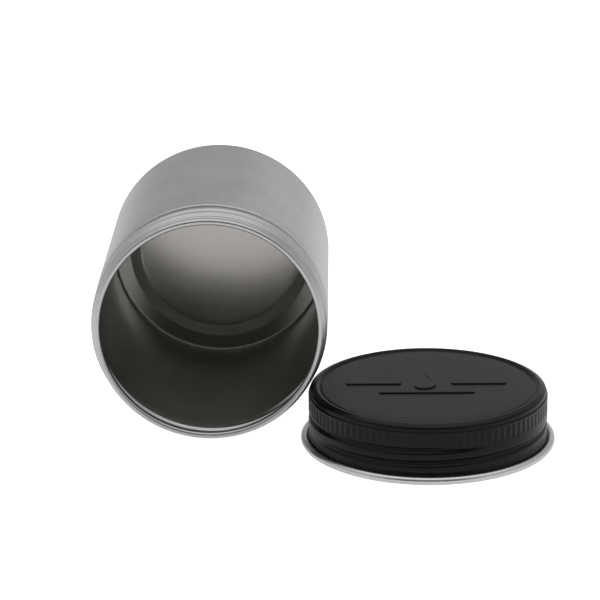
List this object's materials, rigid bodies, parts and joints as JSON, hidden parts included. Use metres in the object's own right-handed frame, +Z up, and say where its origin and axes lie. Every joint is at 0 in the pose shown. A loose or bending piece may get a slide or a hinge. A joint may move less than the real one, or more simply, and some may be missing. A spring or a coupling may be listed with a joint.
{
  "type": "candle tin",
  "caption": "Empty screw-top aluminium candle tin lying on its side, mouth forward, with its black screw lid and foam liner laid flat beside it",
  "frame": {"origin": "on the surface the pair lies on, under the middle of the pair's bounding box", "axes": "+Z up, the way the lid's top faces; +Y along the tin's axis, out of its base, so the mouth faces -Y; +X from the tin to the lid"},
  "size_m": [0.1411, 0.124, 0.072],
  "materials": {
    "bare_aluminium": "satin, drawn",
    "black_lacquer": "matte black lacquer over drawn aluminium, bare at the curled edge",
    "white_foam": "fine closed-cell foam"
  },
  "bodies": {
    "tin": {"tin_body": "bare_aluminium"},
    "liner": {"seal_liner": "white_foam"},
    "lid": {"lid_shell": "black_lacquer"}
  },
  "joints": [
    {"name": "lid_lift", "type": "slide", "parent": "tin", "child": "liner", "axis": [0.7071, 0, 0.7071], "range_m": [0, 0.09]},
    {"name": "lid_turn", "type": "hinge", "parent": "liner", "child": "lid", "pos_m": [0.03175, -0.0232, 0.01], "axis": [0, 0, 1], "continuous": true}
  ]
}
